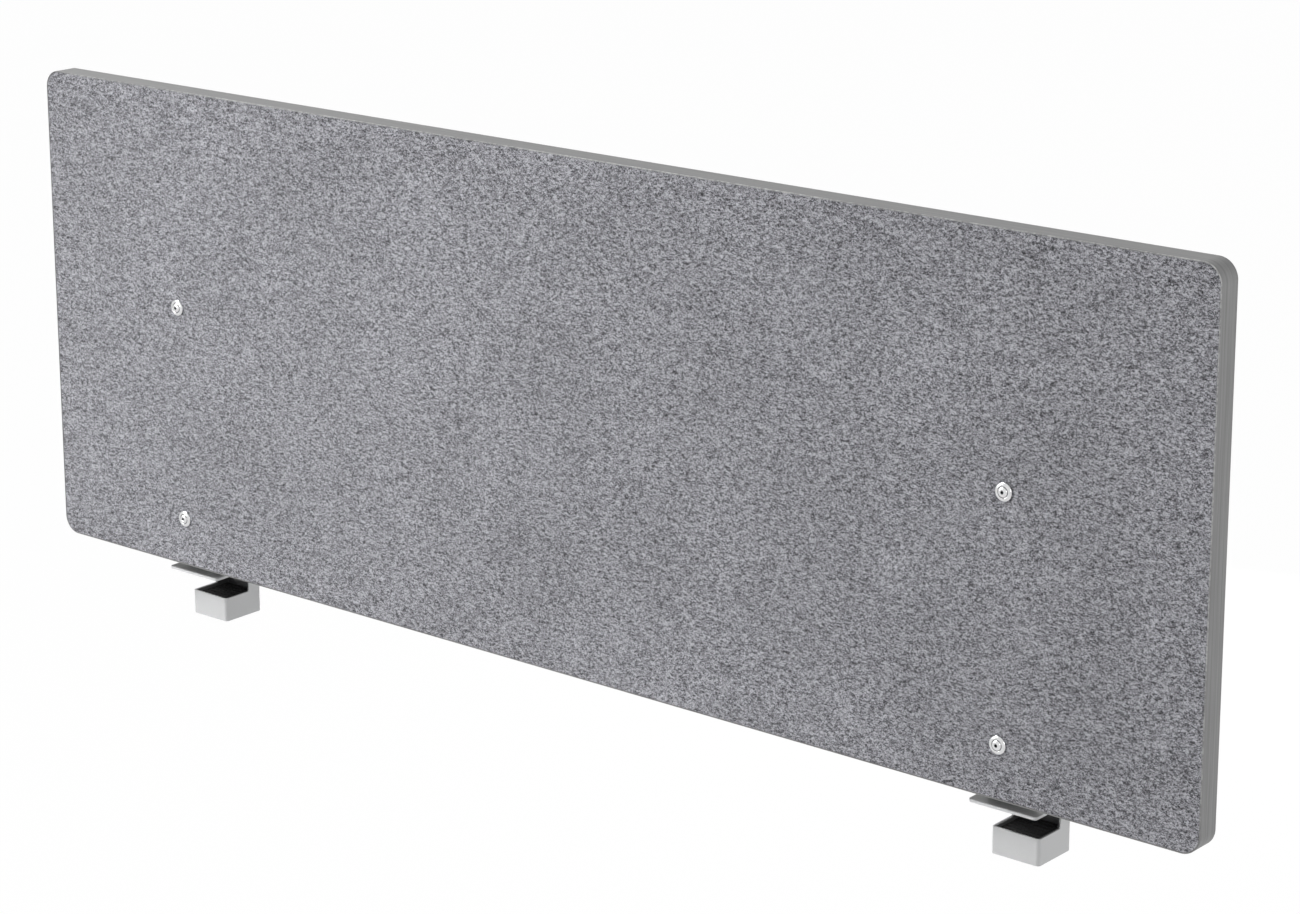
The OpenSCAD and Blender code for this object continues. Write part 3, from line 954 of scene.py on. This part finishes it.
def welds(side):
    plateLow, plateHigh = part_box(side + "_foot_plate")
    barLow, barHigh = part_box(side + "_upright")
    jawLow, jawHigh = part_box(side + "_jaw")
    shape = beadShape
    bm = bmesh.new()
    back = weldBead(barHigh.x - barLow.x - shape["backShorter"], shape["leg"], shape["backSeed"])
    mergeInto(bm, back, Matrix.Translation(((plateLow.x + plateHigh.x) / 2, barHigh.y, plateHigh.z)))
    sideLeg = shape["leg"] * shape["sideLegShare"]
    for sign, edgeX, seed in zip((-1, 1), (jawLow.x, jawHigh.x), shape["sideSeeds"]):  # outside of the flanges
        bead = weldBead(jawHigh.y - shape["sideShorter"], sideLeg, seed)
        turn = Matrix(((0, sign, 0, 0), (1, 0, 0, 0), (0, 0, -1, 0), (0, 0, 0, 1)))
        place = Matrix.Translation((edgeX, jawHigh.y / 2 + shape["sideShift"], plateLow.z))
        mergeInto(bm, bead, place @ turn)
    bmesh.ops.recalc_face_normals(bm, faces=bm.faces)
    finishPiece(bm, side + "Welds", "screen", "bracket_paint", paintMaterial)


# clamp screw, nut and grip pad

spindleShape = {
    "radius": 4 * mm,
    "pitch": 1.25 * mm,
    "threadSteps": 32,
    "chamfer": 0.8 * mm,
    "key": 4 * mm,
    "keyDepth": 5 * mm,
    "keyCone": 0.6 * mm,
    "shoulderGap": 0.1 * mm,        # under the pressure plate's boss
    "neck": 3 * mm,
    "neckLap": 1 * mm,
    "disc": 5.5 * mm,
    "discHeight": 3 * mm,
    "discRound": 0.3 * mm,
    "steps": 48,
}
clampNutShape = {"key": 13 * mm, "bore": 4.05 * mm}
gripShape = {"corner": 3 * mm, "cornerSteps": 8, "edge": 0.3 * mm, "edgeSteps": 2}


def spindle(side):
    low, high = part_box(side + "_spindle")
    middle = (low + high) / 2
    shape = spindleShape
    top = high.z - low.z
    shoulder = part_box(side + "_pressure_plate")[0].z - shape["shoulderGap"] - low.z
    bm = threadedRod(shape["radius"], shape["pitch"], 0, shoulder, shape["threadSteps"], shape["chamfer"])
    closeLoops(bm, openLoop(bm, lambda c: c.z > shoulder - hair))
    rim = openLoop(bm, lambda c: c.z < hair)
    hexagon = ring(bm, cornerReach(shape["key"]), 6, (0, 0, 0))
    closeLoops(bm, rim + hexagon)
    sinkSocket(bm, hexagon, shape["keyDepth"], shape["keyCone"])
    neckLow = shoulder - shape["neckLap"]
    discLow = top - shape["discHeight"]
    bend = shape["discRound"]
    mergeInto(bm, spun([(0, neckLow), (shape["neck"], neckLow), (shape["neck"], discLow),
                        (shape["disc"] - bend, discLow), (shape["disc"], discLow + bend),
                        (shape["disc"], top - bend), (shape["disc"] - bend, top), (0, top)], shape["steps"]))
    bmesh.ops.translate(bm, vec=(middle.x, middle.y, low.z), verts=bm.verts)
    finishPiece(bm, side + "Spindle", side + "_screw", "zinc", zincMaterial, side + "_spindle")


def clampNut(side):
    low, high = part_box(side + "_clamp_nut")
    bm = hexNut(clampNutShape["key"], high.z - low.z, clampNutShape["bore"])
    bmesh.ops.translate(bm, vec=((low.x + high.x) / 2, (low.y + high.y) / 2, low.z), verts=bm.verts)
    finishPiece(bm, side + "ClampNut", "screen", "zinc", zincMaterial, side + "_clamp_nut", sharp=25)


def gripPad(side):
    bm = roundSlab(*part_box(side + "_grip_pad"), gripShape)
    finishPiece(bm, side + "GripPad", "screen", "rubber_black", rubberMaterial, side + "_grip_pad")


# pieces that keep the solid's form and get softened edges

sheetPieces = [
    # node, piece, body, slot, material, edge
    ("upright", "Upright", "screen", "bracket_paint", paintMaterial, 0.22 * mm),
    ("jaw", "Jaw", "screen", "bracket_paint", paintMaterial, 0.22 * mm),
    ("jaw_floor", "JawFloor", "screen", "bracket_paint", paintMaterial, 0.25 * mm),
]
innerPieces = [
    ("jaw_liner", "JawLiner", "screen", "liner_black", linerMaterial, 0.25 * mm),
    ("pressure_plate", "PressurePlate", "{}_pad", "press_paint", pressMaterial, 0.35 * mm),
    ("pressure_pad", "PressurePad", "{}_pad", "rubber_black", rubberMaterial, 0.2 * mm),
]


def softenedPieces(side, rows):
    for node, label, body, slotName, material, edge in rows:
        bm = roundedCopy(side + "_" + node, edge)
        finishPiece(bm, side + label, body.format(side), slotName, material, side + "_" + node)


for side in sides:
    rosettes(side)
    panelScrews(side)
    uprightNuts(side)
    footPlate(side)
    softenedPieces(side, sheetPieces)
    welds(side)
    softenedPieces(side, innerPieces)
    spindle(side)
    clampNut(side)
    gripPad(side)
    print(side, "clamp made")

# floor at a desk's height below the clamps, and plain soft studio light

studio = {
    "floorLevel": -0.74,
    "floorReach": 14,
    "floorPaint": (0.86, 0.86, 0.86, 1),
    "floorWhite": 0.985,
    "ambient": 0.105,
}
lamps = {
    # place, point aimed at, power, size, spread in degrees
    "keyLamp": ((-2.3, -2.4, 3.0), (0, 0, 0.1), 178, 1.6, 180),
    "lowLamp": ((-2.2, -2.6, 0.2), (-0.12, -0.05, 0.12), 1.0, 0.9, 32),
    "fillLamp": ((2.7, -1.9, 0.9), (0.2, 0, 0.1), 10, 1.0, 180),
    "sideLamp": ((2.5, 0.35, 0.9), (0.5, 0, 0), 16, 1.2, 180),
    "backLamp": ((-0.9, 2.7, -0.1), (0, 0, 0.2), 46, 1.1, 180),
}
white = (1, 1, 1, 1)


def seenDirectly(tree):             # by the camera, in a reflection or through glass
    path = put(tree, "ShaderNodeLightPath", (-600, 300))
    seen = reckon(tree, "MAXIMUM", (-400, 300), (path, "Is Camera Ray"), (path, "Is Glossy Ray"))
    return reckon(tree, "MAXIMUM", (-200, 300), (seen, 0), (path, "Is Transmission Ray"))


def mixShaders(tree, at, share, first, second):
    return put(tree, "ShaderNodeMixShader", at, {0: share, 1: (first, 0), 2: (second, 0)})


def floorMaterial():
    material = bpy.data.materials.new("paleFloor")
    material.use_nodes = True
    tree = material.node_tree
    tree.nodes.clear()
    share = reckon(tree, "MULTIPLY", (0, 300), (seenDirectly(tree), 0), studio["floorWhite"])
    paint = put(tree, "ShaderNodeBsdfDiffuse", (-200, 0), {"Color": studio["floorPaint"]})
    glow = put(tree, "ShaderNodeEmission", (-200, -150), {"Color": white, "Strength": 1.0})
    seen = mixShaders(tree, (200, 0), (share, 0), paint, glow)
    clear = put(tree, "ShaderNodeBsdfTransparent", (200, -200))
    surface = put(tree, "ShaderNodeNewGeometry", (0, 500))
    oneSided = mixShaders(tree, (400, 0), (surface, "Backfacing"), seen, clear)     # not there from below
    put(tree, "ShaderNodeOutputMaterial", (600, 0), {"Surface": (oneSided, 0)})
    return material


def makeFloor():
    bm = bmesh.new()
    bmesh.ops.create_grid(bm, x_segments=1, y_segments=1, size=studio["floorReach"])
    bmesh.ops.translate(bm, vec=(0, 0, studio["floorLevel"]), verts=bm.verts)
    mesh = bpy.data.meshes.new("floor")
    bm.to_mesh(mesh)
    bm.free()
    mesh.materials.append(floorMaterial())
    floor = bpy.data.objects.new("floor", mesh)
    bpy.context.scene.collection.objects.link(floor)


def makeWorld():
    world = bpy.data.worlds.new("studioWorld")
    bpy.context.scene.world = world
    world.use_nodes = True
    tree = world.node_tree
    tree.nodes.clear()
    dim = put(tree, "ShaderNodeBackground", (-100, 0), {"Color": white, "Strength": studio["ambient"]})
    bright = put(tree, "ShaderNodeBackground", (-100, -150), {"Color": white, "Strength": 1.0})
    mix = mixShaders(tree, (150, 0), (seenDirectly(tree), 0), dim, bright)
    put(tree, "ShaderNodeOutputWorld", (400, 0), {"Surface": (mix, 0)})


def softLamp(name, place, aim, power, size, spread):
    data = bpy.data.lights.new(name, "AREA")
    data.energy = power
    data.shape = "SQUARE"
    data.size = size
    data.spread = math.radians(spread)
    lamp = bpy.data.objects.new(name, data)
    lamp.location = place
    lamp.rotation_euler = (Vector(aim) - Vector(place)).to_track_quat("-Z", "Y").to_euler()
    bpy.context.scene.collection.objects.link(lamp)


makeFloor()
makeWorld()
for name, settings in lamps.items():
    softLamp(name, *settings)
print("studio set")
